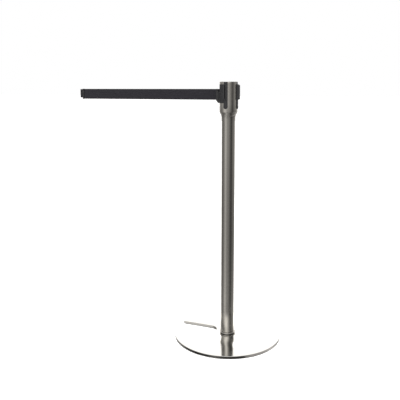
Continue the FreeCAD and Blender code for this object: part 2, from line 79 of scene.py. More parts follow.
def material(name, **shader_values):
    """A material with a Principled shader; returns it with its tree and shader."""
    made = bpy.data.materials.new(name)
    made.use_nodes = True
    made.node_tree.nodes.clear()
    shader = add(made.node_tree, "ShaderNodeBsdfPrincipled",
                 inputs={key.replace("_", " "): v for key, v in shader_values.items()})
    add(made.node_tree, "ShaderNodeOutputMaterial", inputs={"Surface": shader.outputs[0]})
    return made, made.node_tree, shader


MERGE = 1e-7            # points of a mesh nearer than this are one


def mesh_piece(name, points, faces, body, finish, smooth_under=35):
    """A piece of points and faces, smooth under an angle, that rides on a body if given."""
    mesh = bpy.data.meshes.new(name)
    mesh.from_pydata(np.asarray(points).tolist(), [], faces)
    work = bmesh.new()
    work.from_mesh(mesh)
    bmesh.ops.remove_doubles(work, verts=work.verts, dist=MERGE)
    bmesh.ops.dissolve_degenerate(work, edges=work.edges, dist=MERGE)
    work.to_mesh(mesh)
    work.free()
    mesh.shade_smooth()
    mesh.set_sharp_from_angle(angle=math.radians(smooth_under))
    mesh.materials.append(finish)
    piece = bpy.data.objects.new(name, mesh)
    bpy.context.scene.collection.objects.link(piece)
    if body:
        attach(piece, body)
    return piece


def grid_faces(rows, columns, close_rows=False, close_columns=False):
    """Quads between neighbours of a grid whose points are stored row after row."""
    i = np.arange(rows if close_rows else rows - 1)
    j = np.arange(columns if close_columns else columns - 1)
    i, j = [k.ravel() for k in np.meshgrid(i, j, indexing="ij")]
    below, beside = (i + 1) % rows, (j + 1) % columns
    return np.stack([i * columns + j, i * columns + beside,
                     below * columns + beside, below * columns + j], 1).tolist()


# mirror-polished stainless: nearly white, sharp reflections, with faint mop rings
mirror_steel, tree, shader = material("mirror_polished_stainless", Metallic=1.0,
                                      Base_Color=linear("e9e8e5"))
place = add(tree, "ShaderNodeTexCoord").outputs["Object"]
flat = add(tree, "ShaderNodeVectorMath", {"operation": "MULTIPLY"},
           {0: place, 1: (1.0, 1.0, 0.0)}).outputs[0]
radius = add(tree, "ShaderNodeVectorMath", {"operation": "LENGTH"}, {0: flat})
RING_PITCH = 0.0015     # mop rings, far finer in life
SMEAR = 0.070
rings = add(tree, "ShaderNodeTexNoise", {"noise_dimensions": "1D"},
            {"W": radius.outputs["Value"], "Scale": 1 / RING_PITCH, "Detail": 2.0})
smears = add(tree, "ShaderNodeTexNoise", {}, {"Vector": place, "Scale": 1 / SMEAR, "Detail": 3.0})
both = add(tree, "ShaderNodeMath", {"operation": "MULTIPLY"},
           {0: rings.outputs["Fac"], 1: smears.outputs["Fac"]})
gloss = add(tree, "ShaderNodeMapRange", {}, {"Value": both.outputs[0], "From Min": 0.1,
            "From Max": 0.45, "To Min": 0.045, "To Max": 0.13})
tree.links.new(gloss.outputs[0], shader.inputs["Roughness"])

# the disc's cut edge: a darker copy of the same steel, painted shade, with the laser's upright
# lines
edge_painted_shade, tree, shader = material("stainless_edge_painted_shade", Metallic=1.0,
                                  Base_Color=linear("b4b2ae"), Roughness=0.05)
place = add(tree, "ShaderNodeTexCoord").outputs["Object"]
STRIATION = 0.0005      # the laser's upright lines, nearer 0.2 mm apart in life
upright = add(tree, "ShaderNodeMapping", {}, {"Vector": place,
              "Scale": (1 / STRIATION, 1 / STRIATION, 0.05 / STRIATION)})
lines = add(tree, "ShaderNodeTexNoise", {}, {"Vector": upright.outputs[0], "Scale": 1.0})
tint = add(tree, "ShaderNodeMix", {"data_type": "RGBA"},
           {0: lines.outputs["Fac"], 6: linear("aaa8a4"), 7: linear("bebcb8")})
tree.links.new(tint.outputs[2], shader.inputs["Base Color"])

BASE_LOW, BASE_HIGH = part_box("base_plate")
BASE_R = BASE_HIGH.y
NEST_HALF = 0.035
NEST_CENTRE = -0.080
EDGE_R = 0.0012
EDGE_SHADE_UNDER = 0.45      # faces that point up more than this are the mirror; the rest get the edge's painted shade


def base_outline(inset, rim_steps=420, bow_steps=48, side_steps=40):
    """The disc's outline moved inwards: the rim's arc, then the slot's straight side, its
    half circle, and its other side, as (x, y) points anticlockwise."""
    rim, half = BASE_R - inset, NEST_HALF + inset
    corner = math.asin(half / rim)
    turn = np.linspace(-math.pi + corner, math.pi - corner, rim_steps)
    arc = np.stack([rim * np.cos(turn), rim * np.sin(turn)], 1)
    back = np.linspace(math.pi / 2, -math.pi / 2, bow_steps)
    bow = np.stack([NEST_CENTRE + half * np.cos(back), half * np.sin(back)], 1)
    along = np.linspace(0, 1, side_steps)[1:-1, None]
    return np.concatenate([arc, arc[-1] + along * (bow[0] - arc[-1]), bow,
                           bow[-1] + along * (arc[0] - bow[-1])])


def rolled_slab(low, high, edge, outline):
    """A slab whose side is a profile carried round an outline: up the lower rounding, the
    straight wall and the upper rounding, with flat faces above and below. The wall has a
    row near each end, so that it's shaded flat."""
    bend = np.linspace(0, math.pi / 2, 7)
    wall_row = edge * 1.2
    insets = np.concatenate([edge * (1 - np.sin(bend)), [0, 0], edge * (1 - np.cos(bend))])
    heights = np.concatenate([low + edge * (1 - np.cos(bend)),
                              [low + wall_row, high - wall_row],
                              high - edge * (1 - np.sin(bend))])
    loops = []
    for inset, height in zip(insets, heights):
        loop = outline(inset)
        loops.append(np.column_stack([loop, np.full(len(loop), height)]))
    rows, columns = len(loops), len(loops[0])
    faces = grid_faces(rows, columns, close_columns=True)
    first, last = list(range(columns)), list(range((rows - 1) * columns, rows * columns))
    return np.concatenate(loops), faces + [first[::-1], last]


points, faces = rolled_slab(BASE_LOW.z, BASE_HIGH.z, EDGE_R, base_outline)
base_disc = mesh_piece("base_disc", points, faces, "stand", mirror_steel)
base_disc.data.materials.append(edge_painted_shade)
# faces that point sideways take the darker copy: painted shade on the edge
for face in base_disc.data.polygons:
    face.material_index = int(face.normal.z < EDGE_SHADE_UNDER)
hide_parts("base_plate")


# ---- base pad, bolt and washer ----------------------------------------------------
# A 2 mm sheet of black rubber glued under the disc, and the zinc-plated low-head bolt
# and washer that sit in the disc's counterbore and hold the post.

# shop-floor rubber: very dark, dull, with a fine stipple and a little grey dust; also painted on
# the collar's foot as contact shadow
rubber_and_painted_shadow, tree, shader = material("moulded_rubber_and_painted_shadow", Base_Color=linear("161616"),
                                Roughness=0.82)
place = add(tree, "ShaderNodeTexCoord").outputs["Object"]
DUST_PATCH = 0.0167
dust = add(tree, "ShaderNodeTexNoise", {}, {"Vector": place, "Scale": 1 / DUST_PATCH,
           "Detail": 4.0})
tint = add(tree, "ShaderNodeMix", {"data_type": "RGBA"},
           {0: dust.outputs["Fac"], 6: linear("0f0f0f"), 7: linear("262524")})
DIMPLE = 0.0011         # finer in life
stipple = add(tree, "ShaderNodeTexNoise", {}, {"Vector": place, "Scale": 1 / DIMPLE})
relief = add(tree, "ShaderNodeBump", {}, {"Height": stipple.outputs["Fac"],
             "Strength": 0.25, "Distance": 0.0003})
tree.links.new(tint.outputs[2], shader.inputs["Base Color"])
tree.links.new(relief.outputs[0], shader.inputs["Normal"])

# bright zinc plating: blue-white, half gloss, slightly cloudy
zinc, tree, shader = material("bright_zinc_plate", Metallic=1.0, Base_Color=linear("c4c6c8"))
place = add(tree, "ShaderNodeTexCoord").outputs["Object"]
CLOUD = 0.0045
cloud = add(tree, "ShaderNodeTexNoise", {}, {"Vector": place, "Scale": 1 / CLOUD, "Detail": 3.0})
gloss = add(tree, "ShaderNodeMapRange", {}, {"Value": cloud.outputs["Fac"],
            "To Min": 0.24, "To Max": 0.42})
tree.links.new(gloss.outputs[0], shader.inputs["Roughness"])

welded = bpy.data.node_groups.new("weld_and_shade", "GeometryNodeTree")
welded.interface.new_socket("Geometry", in_out="INPUT", socket_type="NodeSocketGeometry")
welded.interface.new_socket("Geometry", in_out="OUTPUT", socket_type="NodeSocketGeometry")
SMOOTH_UNDER = math.radians(28)
WELD_UNDER = 2e-6
merged = add(welded, "GeometryNodeMergeByDistance",
             inputs={"Geometry": add(welded, "NodeGroupInput").outputs[0],
                     "Distance": WELD_UNDER})
bend = add(welded, "GeometryNodeInputMeshEdgeAngle")
soft = add(welded, "FunctionNodeCompare", {"operation": "LESS_THAN"},
           {0: bend.outputs["Unsigned Angle"], 1: SMOOTH_UNDER})
faces_on = add(welded, "GeometryNodeSetShadeSmooth", {"domain": "FACE"},
               {"Geometry": merged.outputs[0]})
edges_on = add(welded, "GeometryNodeSetShadeSmooth", {"domain": "EDGE"},
               {"Geometry": faces_on.outputs[0], "Shade Smooth": soft.outputs[0]})
add(welded, "NodeGroupOutput", inputs={0: edges_on.outputs[0]})


def finish_node(name, finish, edge=0.0):
    """Gives a CAD part its finish, joins its loose triangles and rounds its edges."""
    part = nodes[name]
    part.data.materials.clear()
    part.data.materials.append(finish)
    weld = part.modifiers.new("weld", "NODES")
    weld.node_group = welded
    if edge:
        rounding = part.modifiers.new("edges", "BEVEL")
        rounding.width, rounding.segments = edge, 2
        rounding.limit_method, rounding.angle_limit = "ANGLE", math.radians(40)
        rounding.use_clamp_overlap = True
        rounding.harden_normals = True


finish_node("base_pad", rubber_and_painted_shadow)
finish_node("base_bolt", zinc)
finish_node("bolt_washer", zinc)


# ---- foot collar ------------------------------------------------------------------
# A spun ring of satin steel, pushed down the post to hide where it meets the disc. A thin
# rim stands out over a narrower neck, whose foot is painted black as contact shadow.

SCRATCH_PITCH = 0.0006  # scratches are about 0.05 mm apart in life
HANDLED_PATCH = 0.111   # hands dull the steel in patches
PAINTED_LIGHT_GAIN = 1.4       # how much brighter the head's top is painted: painted light


def satin(name, darker, lighter, painted_light_span=None):
    """Stainless ground with a belt: hair-fine scratches round the tube. The last argument is
    the pair of heights between which it is painted brighter, as painted light."""
    made, tree, shader = material(name, Metallic=1.0, Anisotropic=0.45)
    place = add(tree, "ShaderNodeTexCoord").outputs["Object"]
    stretched = add(tree, "ShaderNodeMapping", {}, {"Vector": place,
                    "Scale": (0.02 / SCRATCH_PITCH, 0.02 / SCRATCH_PITCH, 1 / SCRATCH_PITCH)})
    scratches = add(tree, "ShaderNodeTexNoise", {}, {"Vector": stretched.outputs[0],
                    "Scale": 1.0, "Detail": 4.0, "Roughness": 0.6})
    handled = add(tree, "ShaderNodeTexNoise", {}, {"Vector": place,
                  "Scale": 1 / HANDLED_PATCH, "Detail": 3.0})
    tint = add(tree, "ShaderNodeMix", {"data_type": "RGBA"},
               {0: scratches.outputs["Fac"], 6: linear(darker), 7: linear(lighter)}).outputs[2]
    # painted light: the colour grows brighter between the two heights
    if painted_light_span:
        height = add(tree, "ShaderNodeSeparateXYZ", {}, {0: place}).outputs["Z"]
        gain = add(tree, "ShaderNodeMapRange", {}, {"Value": height, "From Min": painted_light_span[0],
                   "From Max": painted_light_span[1], "To Min": 1.0, "To Max": PAINTED_LIGHT_GAIN})
        tint = add(tree, "ShaderNodeVectorMath", {"operation": "SCALE"},
                   {0: tint, "Scale": gain.outputs[0]}).outputs[0]
    blend_in = add(tree, "ShaderNodeMath", {"operation": "MULTIPLY"},
                   {0: scratches.outputs["Fac"], 1: handled.outputs["Fac"]})
    gloss = add(tree, "ShaderNodeMapRange", {}, {"Value": blend_in.outputs[0],
                "From Min": 0.1, "From Max": 0.5, "To Min": 0.15, "To Max": 0.27})
    relief = add(tree, "ShaderNodeBump", {}, {"Height": scratches.outputs["Fac"],
                 "Strength": 0.06, "Distance": 0.0001})
    round_it = add(tree, "ShaderNodeTangent", {"direction_type": "RADIAL", "axis": "Z"})
    tree.links.new(tint, shader.inputs["Base Color"])
    tree.links.new(gloss.outputs[0], shader.inputs["Roughness"])
    tree.links.new(relief.outputs[0], shader.inputs["Normal"])
    tree.links.new(round_it.outputs[0], shader.inputs["Tangent"])
    return made


# satin-ground stainless: mid grey, smeared reflections up and down
satin_steel = satin("satin_ground_stainless", "a4a19c", "b6b3ae")
# the same on the head, painted brighter towards its top: painted light
head_satin_painted_light = satin("satin_stainless_painted_light", "a4a19c", "b6b3ae", (0.872, 0.905))


def turned_surface(outline, around=180):
    """A closed outline of (radius, height) points turned about the post's axis."""
    outline = np.asarray(outline)
    turn = np.linspace(0, 2 * math.pi, around, endpoint=False)
    points = np.stack([np.outer(np.cos(turn), outline[:, 0]),
                       np.outer(np.sin(turn), outline[:, 0]),
                       np.tile(outline[:, 1], (around, 1))], 2)
    faces = grid_faces(around, len(outline), close_rows=True, close_columns=True)
    return points.reshape(-1, 3), [face[::-1] for face in faces]


def rounded(corners, steps=6):
    """A closed outline from (x, y, rounding) corners: each corner is a quadratic curve
    that starts and ends its rounding's length away."""
    corners = np.asarray(corners, float)
    made = []
    for i, (x, y, reach) in enumerate(corners):
        here = np.array([x, y])
        if reach == 0:
            made.append(here[None])
            continue
        before, after = [here + reach * (p - here) / np.linalg.norm(p - here)
                         for p in (corners[i - 1, :2], corners[(i + 1) % len(corners), :2])]
        t = np.linspace(0, 1, steps)[:, None]
        made.append((1 - t) ** 2 * before + 2 * t * (1 - t) * here + t ** 2 * after)
    return np.concatenate(made)


collar_low, collar_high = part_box("foot_collar")
COLLAR_BORE = 0.02545
NECK_R = 0.0274
SHOULDER_R = 0.0299
COLLAR_TOP_R = 0.0266
SHADOW_BAND_HIGH = 0.0026        # how high the painted contact shadow stands
RIM_T = 0.0014
RIM_SLOPE = 0.0006      # rise from one corner of the rim to the next
rim_low = collar_low.z + 0.0056
rim_high = rim_low + RIM_T
collar_outline = rounded([
    (COLLAR_BORE, collar_low.z, 0), (NECK_R, collar_low.z, 0),
    (NECK_R, collar_low.z + SHADOW_BAND_HIGH, 0),
    (NECK_R, rim_low - 2 * RIM_SLOPE, 0.0006), (SHOULDER_R, rim_low - RIM_SLOPE, 0.0003),
    (collar_high.x, rim_low, 0.0004), (collar_high.x, rim_high, 0.0004),
    (SHOULDER_R, rim_high + RIM_SLOPE, 0.0004), (COLLAR_TOP_R, collar_high.z, 0.0005),
    (COLLAR_BORE, collar_high.z, 0)])
points, faces = turned_surface(collar_outline)
collar = mesh_piece("collar", points, faces, "stand", satin_steel)
collar.data.materials.append(rubber_and_painted_shadow)
# the neck's foot takes the black rubber finish: painted contact shadow
for face in collar.data.polygons:
    face.material_index = int(face.center.z < collar_low.z + SHADOW_BAND_HIGH)
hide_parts("foot_collar")


# ---- post ---------------------------------------------------------------------------
# Drawn 2 inch stainless tube with a 1.5 mm wall, ground with a belt that runs round it,
# so its reflections are sharp across and smeared up and down.

post_low, post_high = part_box("post_tube")
POST_R = post_high.x
POST_WALL = 0.0015
outside = [(POST_R, z) for z in np.linspace(post_low.z, post_high.z, 40)]
points, faces = turned_surface([(POST_R - POST_WALL, post_low.z), *outside,
                                (POST_R - POST_WALL, post_high.z)])
post = mesh_piece("post", points, faces, "stand", satin_steel)
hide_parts("post_tube")


# ---- head shell -----------------------------------------------------------------------
# The same satin steel, turned from thicker tube: a cylinder over a short cone, with four
# milled slots that are open at the top and round at the foot. All edges are broken.

shell_low, shell_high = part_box("head_shell")
HEAD_R = shell_high.x
HEAD_BORE = HEAD_R - 0.002
SLOT_HALF = 0.00775
SLOT_FOOT = 0.8875
NECK_TOP = 0.8754
CONE_LOW, CONE_HIGH = 0.8663, 0.8765        # the inner cone
OUTER_ROUND = 0.0008    # roundings at the top rim
INNER_ROUND = 0.0006
EASED = 0.0012          # the neck's corners are eased over this much to each side
# the neck's outside, from its lower end up to the cylinder: height and radius
NECK = [(shell_low.z, 0.0262), (0.850, 0.0263), (0.855, 0.0265), (0.859, 0.0268),
        (0.8626, 0.0275), (0.8664, 0.0288), (0.870, 0.0308), (0.873, 0.0327),
        (NECK_TOP, HEAD_R)]


def slot_half_width(z):
    """Half the slot's width at a height: nothing below its foot, then a half circle, then
    straight sides."""
    down = np.clip(SLOT_FOOT + SLOT_HALF - z, 0, SLOT_HALF)
    return np.where(z < SLOT_FOOT, 0, np.sqrt(np.maximum(SLOT_HALF ** 2 - down ** 2, 0)))


def shell_skin(radius_at, heights, fingers=4, across=20):
    """One skin of the shell: at each height, each finger runs from one slot's side to the
    next one's on the skin's radius, so the slots' walls stay parallel."""
    radius = radius_at(heights)[:, None, None]
    gap = np.arcsin(slot_half_width(heights)[:, None, None] / radius)
    quarter = np.arange(fingers)[None, :, None] * math.pi / 2
    v = np.linspace(0, 1, across)[None, None, :]
    angle = quarter + gap + v * (math.pi / 2 - 2 * gap)
    z = np.broadcast_to(heights[:, None, None], angle.shape)
    return np.stack([radius * np.cos(angle), radius * np.sin(angle), z], 3)


def outer_radius(z):
    """The neck's radius, eased by averaging over a few millimetres, then the cylinder and
    a small rounding at the rim."""
    near = np.linspace(-EASED, EASED, 9)
    neck = np.interp(z[:, None] + near, *np.transpose(NECK)).mean(1)
    rim = np.clip(z - (shell_high.z - OUTER_ROUND), 0, OUTER_ROUND)
    return neck - (OUTER_ROUND - np.sqrt(OUTER_ROUND ** 2 - rim ** 2))


def inner_radius(z):
    """The bore over the post, the inner cone, and the cylinder that the cassette fills."""
    cone = np.interp(z, [CONE_LOW, CONE_HIGH], [COLLAR_BORE, HEAD_BORE])
    rim = np.clip(z - (shell_high.z - INNER_ROUND), 0, INNER_ROUND)
    return cone + (INNER_ROUND - np.sqrt(INNER_ROUND ** 2 - rim ** 2))


# the heights of the mesh's rows, closer together where the profile or a slot curves
quarter_turn = np.linspace(0, math.pi / 2, 15)
heights = np.unique(np.concatenate([
    np.linspace(shell_low.z, NECK_TOP + 0.0026, 36),
    [CONE_LOW, CONE_HIGH, 0.883, SLOT_FOOT],
    SLOT_FOOT + SLOT_HALF * (1 - np.cos(quarter_turn)),
    np.linspace(0.90, 0.98, 17),
    shell_high.z - OUTER_ROUND * (1 - np.sin(quarter_turn[::3]))]))
outer = shell_skin(outer_radius, heights)
inner = shell_skin(inner_radius, heights)
points = np.concatenate([outer.reshape(-1, 3), inner.reshape(-1, 3)])
index = np.arange(len(points)).reshape(2, *outer.shape[:3])


def strip(a, b):
    """Quads between two equal rows of point numbers."""
    return np.stack([a[..., :-1], a[..., 1:], b[..., 1:], b[..., :-1]], -1).reshape(-1, 4)


slotted = heights >= SLOT_FOOT - MERGE
faces = np.concatenate([
    strip(index[0, :-1], index[0, 1:]),                             # outside
    strip(index[1, 1:], index[1, :-1]),                             # inside
    strip(index[0, -1], index[1, -1]),                              # top rim
    strip(index[1, 0], index[0, 0]),                                # lower rim
    strip(index[0, slotted, :, 0].T, index[1, slotted, :, 0].T),    # slots' walls
    strip(index[1, slotted, :, -1].T, index[0, slotted, :, -1].T)]).tolist()
shell = mesh_piece("head_tube", points, faces, "stand", head_satin_painted_light)
BROKEN_EDGE = 0.0008
rounding = shell.modifiers.new("broken_edges", "BEVEL")
rounding.width, rounding.segments = BROKEN_EDGE, 3
rounding.limit_method, rounding.angle_limit = "ANGLE", math.radians(60)
rounding.harden_normals = True
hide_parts("head_shell")

# black-oxide screws: blue-black, oily half gloss
black_oxide, tree, shader = material("black_oxide_steel", Metallic=1.0,
                                     Base_Color=linear("2c2c2e"), Roughness=0.38)
place = add(tree, "ShaderNodeTexCoord").outputs["Object"]
WORN_SPOT = 0.002
worn = add(tree, "ShaderNodeTexNoise", {}, {"Vector": place, "Scale": 1 / WORN_SPOT,
           "Detail": 2.0})
tint = add(tree, "ShaderNodeMix", {"data_type": "RGBA"},
           {0: worn.outputs["Fac"], 6: linear("232325"), 7: linear("3c3b3b")})
tree.links.new(tint.outputs[2], shader.inputs["Base Color"])

# turned aluminium: pale, with fine turning rings
turned_alloy, tree, shader = material("turned_aluminium", Metallic=1.0,
                                      Base_Color=linear("cfcfcf"), Roughness=0.32)
place = add(tree, "ShaderNodeTexCoord").outputs["Object"]
TOOL_MARK = 0.00063     # nearer 0.1 mm in life; at scale 1 the wave's bands are pi / 10 apart
tool_marks = add(tree, "ShaderNodeTexWave", {"bands_direction": "Z"},
                 {"Vector": place, "Scale": math.pi / 10 / TOOL_MARK, "Distortion": 0.4})
relief = add(tree, "ShaderNodeBump", {}, {"Height": tool_marks.outputs["Fac"],
             "Strength": 0.2, "Distance": 0.0001})
tree.links.new(relief.outputs[0], shader.inputs["Normal"])

finish_node("foot_plug", zinc)
finish_node("neck_plug", turned_alloy)
finish_node("neck_set_screws", black_oxide)
finish_node("shell_grub_screws", black_oxide)


# ---- cassette, cap and receivers -----------------------------------------------------
# Black glass-filled nylon mouldings: the cassette that drops into the shell, its cap,
# the frame at the outlet, the three receivers in the slots and the shoe at the outlet.

# moulded nylon: charcoal, a fine spark-eroded texture, edges a little rubbed
nylon, tree, shader = material("moulded_black_nylon", Base_Color=linear("1b1b1d"),
                               Roughness=0.5, Specular_IOR_Level=0.42)
place = add(tree, "ShaderNodeTexCoord").outputs["Object"]
SPARK_PIT = 0.0007      # nearer 0.05 mm in life
texture = add(tree, "ShaderNodeTexNoise", {}, {"Vector": place, "Scale": 1 / SPARK_PIT,
              "Detail": 2.0})
FLOW_MARK = 0.0222
flow = add(tree, "ShaderNodeTexNoise", {}, {"Vector": place, "Scale": 1 / FLOW_MARK,
           "Detail": 3.0})
tint = add(tree, "ShaderNodeMix", {"data_type": "RGBA"},
           {0: flow.outputs["Fac"], 6: linear("161618"), 7: linear("222224")})
gloss = add(tree, "ShaderNodeMapRange", {}, {"Value": flow.outputs["Fac"],
            "To Min": 0.4, "To Max": 0.58})
relief = add(tree, "ShaderNodeBump", {}, {"Height": texture.outputs["Fac"],
             "Strength": 0.3, "Distance": 0.0001})
tree.links.new(tint.outputs[2], shader.inputs["Base Color"])
tree.links.new(gloss.outputs[0], shader.inputs["Roughness"])
tree.links.new(relief.outputs[0], shader.inputs["Normal"])

MOULDED_EDGE = 0.0004
for name in ("cassette_cap", "receiver_front", "receiver_right", "receiver_back"):
    finish_node(name, nylon, MOULDED_EDGE)
finish_node("outlet_shoe", nylon, 0.0005)
for name in ("cassette_body", "outlet_frame", "reel_core", "reel_flange_lower",
             "reel_flange_upper"):
    finish_node(name, nylon)
for name in ("cap_screws", "cassette_floor_screws", "shoe_rivets", "spindle_screw"):
    finish_node(name, black_oxide)


# ---- reel, spring and brake ------------------------------------------------------------
# Inside the cassette: a steel spindle with bronze bushes, the spring in its pressed cup,
# the felt brake, and two white acetal rollers on steel pins at the outlet.

# blued spring strip: dark blue-grey, smooth
blued, tree, shader = material("blued_spring_strip", Metallic=1.0,
                               Base_Color=linear("5a606c"), Roughness=0.3)
place = add(tree, "ShaderNodeTexCoord").outputs["Object"]
TEMPER_PATCH = 0.008
temper = add(tree, "ShaderNodeTexNoise", {}, {"Vector": place, "Scale": 1 / TEMPER_PATCH})
tint = add(tree, "ShaderNodeMix", {"data_type": "RGBA"},
           {0: temper.outputs["Fac"], 6: linear("4a5262"), 7: linear("6d6a66")})
tree.links.new(tint.outputs[2], shader.inputs["Base Color"])

# natural acetal: milky white, waxy gloss
acetal, tree, shader = material("natural_acetal", Base_Color=linear("e6e3db"),
                                Roughness=0.35, Subsurface_Weight=0.1)
place = add(tree, "ShaderNodeTexCoord").outputs["Object"]
MILKY_PATCH = 0.011
milk = add(tree, "ShaderNodeTexNoise", {}, {"Vector": place, "Scale": 1 / MILKY_PATCH})
tint = add(tree, "ShaderNodeMix", {"data_type": "RGBA"},
           {0: milk.outputs["Fac"], 6: linear("dedad0"), 7: linear("edeae3")})
tree.links.new(tint.outputs[2], shader.inputs["Base Color"])

# sintered bronze: brown-gold, porous and dull
bronze, tree, shader = material("sintered_bronze", Metallic=1.0,
                                Base_Color=linear("a87c4c"), Roughness=0.5)
place = add(tree, "ShaderNodeTexCoord").outputs["Object"]
PORE = 0.0004           # nearer 0.03 mm in life
pores = add(tree, "ShaderNodeTexVoronoi", {}, {"Vector": place, "Scale": 1 / PORE})
relief = add(tree, "ShaderNodeBump", {}, {"Height": pores.outputs["Distance"],
             "Strength": 0.3, "Distance": 0.0001})
tree.links.new(relief.outputs[0], shader.inputs["Normal"])

# pressed wool felt: grey, fibrous, no gloss
felt, tree, shader = material("pressed_wool_felt", Base_Color=linear("6a6660"),
                              Roughness=0.95, Sheen_Weight=0.4)
place = add(tree, "ShaderNodeTexCoord").outputs["Object"]
TUFT = 0.0008
fibres = add(tree, "ShaderNodeTexNoise", {}, {"Vector": place, "Scale": 1 / TUFT,
             "Detail": 6.0})
relief = add(tree, "ShaderNodeBump", {}, {"Height": fibres.outputs["Fac"],
             "Strength": 0.6, "Distance": 0.0004})
tree.links.new(relief.outputs[0], shader.inputs["Normal"])

for finish, names in (
        (zinc, ("guide_pins", "spindle", "spring_cup", "spring_lid", "belt_anchor_pin",
                "brake_plate")),
        (blued, ("power_spring", "spindle_clip", "wave_washer")),
        (acetal, ("guide_roller_front", "guide_roller_back", "thrust_washer")),
        (bronze, ("reel_bush_lower", "reel_bush_upper")),
        (felt, ("brake_felt",))):
    for name in names:
        finish_node(name, finish)


# ---- belt -----------------------------------------------------------------------------
# Black polyester webbing, 40.6 mm wide: a twill of flat yarns between two tightly woven
# selvedges. It is taut from the outlet to its end clip and is wound on the reel inside.

# woven polyester: soft black with a violet cast, faint sheen, darker dense selvedges
webbing, tree, shader = material("woven_polyester_webbing", Roughness=0.78,
                                 Specular_IOR_Level=0.2,
                                 Sheen_Weight=0.06, Sheen_Roughness=0.5)
belt_low, belt_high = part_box("belt_web")
BELT_MID = (belt_low.z + belt_high.z) / 2
BELT_HALF = (belt_high.z - belt_low.z) / 2
SELVEDGE = 0.0036
TWILL_PITCH = 0.0028    # nearer 1.2 mm in life
YARN = 0.00154          # nearer 0.5 mm in life
STREAK_LONG, STREAK_WIDE = 0.083, 0.00111
place = add(tree, "ShaderNodeTexCoord").outputs["Object"]
axes = add(tree, "ShaderNodeSeparateXYZ", {}, {0: place})
height = add(tree, "ShaderNodeMath", {"operation": "SUBTRACT"},
             {0: axes.outputs["Z"], 1: BELT_MID})
off_centre = add(tree, "ShaderNodeMath", {"operation": "ABSOLUTE"}, {0: height.outputs[0]})
edge = add(tree, "ShaderNodeMapRange", {}, {"Value": off_centre.outputs[0],
           "From Min": BELT_HALF - SELVEDGE, "From Max": BELT_HALF - SELVEDGE * 0.6})
slant = add(tree, "ShaderNodeMath", {"operation": "ADD"},
            {0: axes.outputs["X"], 1: axes.outputs["Z"]})
cycles = add(tree, "ShaderNodeMath", {"operation": "MULTIPLY"},
             {0: slant.outputs[0], 1: 2 * math.pi / TWILL_PITCH})
twill = add(tree, "ShaderNodeMath", {"operation": "SINE"}, {0: cycles.outputs[0]})
yarn = add(tree, "ShaderNodeTexNoise", {}, {"Vector": place, "Scale": 1 / YARN,
           "Detail": 3.0})
lengthwise = add(tree, "ShaderNodeMapping", {}, {"Vector": place,
                 "Scale": (1 / STREAK_LONG, 1.0, 1 / STREAK_WIDE)})
warp = add(tree, "ShaderNodeTexNoise", {}, {"Vector": lengthwise.outputs[0], "Scale": 1.0})
body_tint = add(tree, "ShaderNodeMix", {"data_type": "RGBA"},
                {0: warp.outputs["Fac"], 6: linear("161519"), 7: linear("232227")})
tint = add(tree, "ShaderNodeMix", {"data_type": "RGBA"},
           {0: edge.outputs[0], 6: body_tint.outputs[2], 7: linear("0e0d10")})
ridge = add(tree, "ShaderNodeMath", {"operation": "MULTIPLY_ADD"},
            {0: twill.outputs[0], 1: 0.5, 2: yarn.outputs["Fac"]})
relief = add(tree, "ShaderNodeBump", {}, {"Height": ridge.outputs[0], "Strength": 0.5,
             "Distance": 0.0003})
tree.links.new(tint.outputs[2], shader.inputs["Base Color"])
tree.links.new(relief.outputs[0], shader.inputs["Normal"])

HALF_T = 0.0003
SELVEDGE_HALF_T = 0.00042
THICKENING = 0.0008     # the selvedge reaches its thickness over this width
LOOM_STEP = 0.004       # spacing of the sections along the belt
NOSE_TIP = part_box("outlet_shoe")[0].x
CLIP_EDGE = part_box("belt_clip_front")[1].x
FREE = NOSE_TIP - CLIP_EDGE


def belt_section(around=44):
    """The belt's cross-section as y and z: a superellipse, flat between two selvedges that
    are thicker and round outside."""
    turn = np.linspace(0, 2 * math.pi, around, endpoint=False)
    z = np.sign(np.cos(turn)) * np.abs(np.cos(turn)) ** 0.45
    side = np.sign(np.sin(turn)) * np.abs(np.sin(turn)) ** 0.35
    near_edge = np.clip((np.abs(z) * BELT_HALF - (BELT_HALF - SELVEDGE)) / THICKENING, 0, 1)
    thick = HALF_T + (SELVEDGE_HALF_T - HALF_T) * near_edge
    return thick * side, BELT_MID + BELT_HALF * z


def belt_length(x_from, x_to, cap_start=False, cap_end=False):
    """A length of belt: the section carried along -X, as (points, faces)."""
    steps = max(2, int(abs(x_to - x_from) / LOOM_STEP) + 1)
    x = np.linspace(x_from, x_to, steps)
    y, z = belt_section()
    points = np.stack([np.repeat(x, len(y)), np.tile(y, steps), np.tile(z, steps)], 1)
    faces = grid_faces(steps, len(y), close_columns=True)
    ring = np.arange(len(y))
    if cap_start:
        faces.append(ring[::-1].tolist())
    if cap_end:
        faces.append((ring + (steps - 1) * len(y)).tolist())
    return points, faces


# The belt is made in lengths, closer together near its two ends, whose ends fall at these
# shares of its free run; they are then joined into one.
SHARES = [0, 0.004, 0.012, 0.03, 0.07, 0.15, 0.3, 0.5, 0.7, 0.85, 0.93, 0.97, 0.988,
          0.996, 1]
lengths = []
for low, high in zip(SHARES, SHARES[1:]):
    first, last = low == 0, high == 1
    x_from = belt_high.x if first else NOSE_TIP - low * FREE
    x_to = belt_low.x if last else NOSE_TIP - high * FREE
    points, faces = belt_length(x_from, x_to, cap_start=first, cap_end=last)
    piece = mesh_piece("belt_length", points, faces, None, webbing, 60)
    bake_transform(piece)
    lengths.append(piece)
belt = lengths[0]
with bpy.context.temp_override(active_object=belt, selected_editable_objects=lengths,
                               selected_objects=lengths, object=belt):
    bpy.ops.object.join()
belt.name = belt.data.name = "belt"
work = bmesh.new()
work.from_mesh(belt.data)
bmesh.ops.remove_doubles(work, verts=work.verts, dist=10 * MERGE)
work.to_mesh(belt.data)
work.free()
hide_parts("belt_web")
